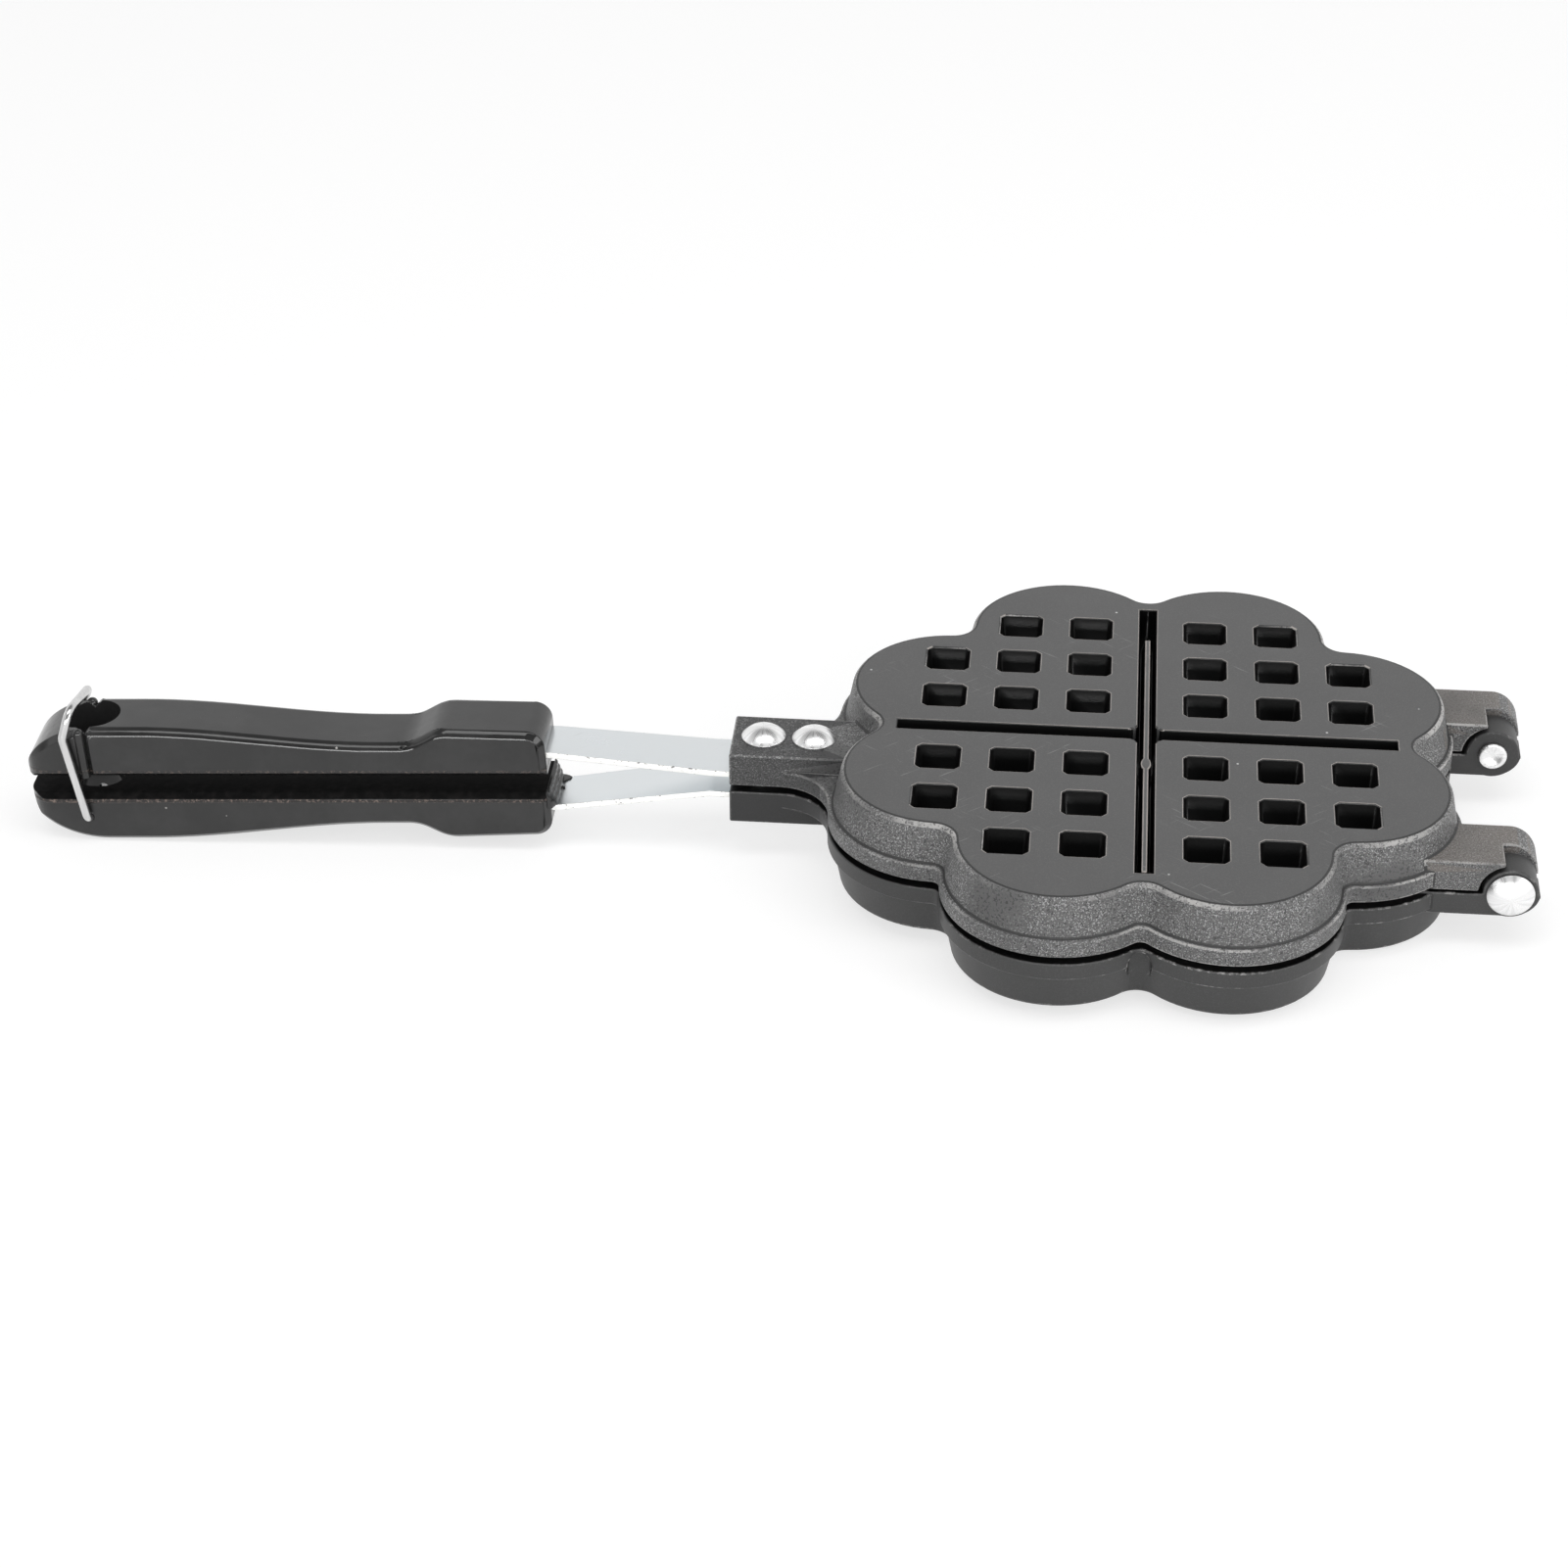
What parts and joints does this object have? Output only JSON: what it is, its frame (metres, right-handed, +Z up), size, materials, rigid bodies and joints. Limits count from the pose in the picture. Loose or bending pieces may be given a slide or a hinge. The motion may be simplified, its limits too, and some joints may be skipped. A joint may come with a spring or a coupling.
{
  "type": "stovetop waffle iron",
  "caption": "Stovetop waffle iron: two flower-shaped cast plates of heart waffles hinged at one side, each on a riveted strap with a black grip, locked by a swinging wire bail.",
  "frame": {"origin": "centre of the flower on the lower plate's flat base", "axes": "+X from the grips to the hinge, +Z up through both plates, +Y across the handles"},
  "size_m": [0.3767, 0.154, 0.0406],
  "materials": {
    "cast_plate": "dark cast, matte, worn bright at the edges",
    "rivet": "bright, lightly burnished",
    "strap": "bright plated strip with burred edges",
    "grip": "black moulded phenolic, glossy",
    "wire": "bright plated wire"
  },
  "bodies": {
    "lower": {"lower_plate": "cast_plate", "lower_socket_rivet_1": "rivet", "lower_socket_rivet_2": "rivet", "lower_strap": "strap", "lower_grip": "grip", "near_hinge_rivet": "rivet", "far_hinge_rivet": "rivet"},
    "upper": {"upper_plate": "cast_plate", "upper_socket_rivet_1": "rivet", "upper_socket_rivet_2": "rivet", "upper_strap": "strap", "upper_grip": "grip"},
    "bail": {"wire_bail": "wire"}
  },
  "joints": [
    {"name": "lid_hinge", "type": "hinge", "parent": "lower", "child": "upper", "pos_m": [0.0875, 0, 0.0155], "axis": [0, 1, 0], "range_deg": [0, 104]},
    {"name": "bail_swing", "type": "hinge", "parent": "lower", "child": "bail", "pos_m": [-0.26636, 0, -0.00249], "axis": [0, -1, 0], "range_deg": [0, 240]}
  ]
}
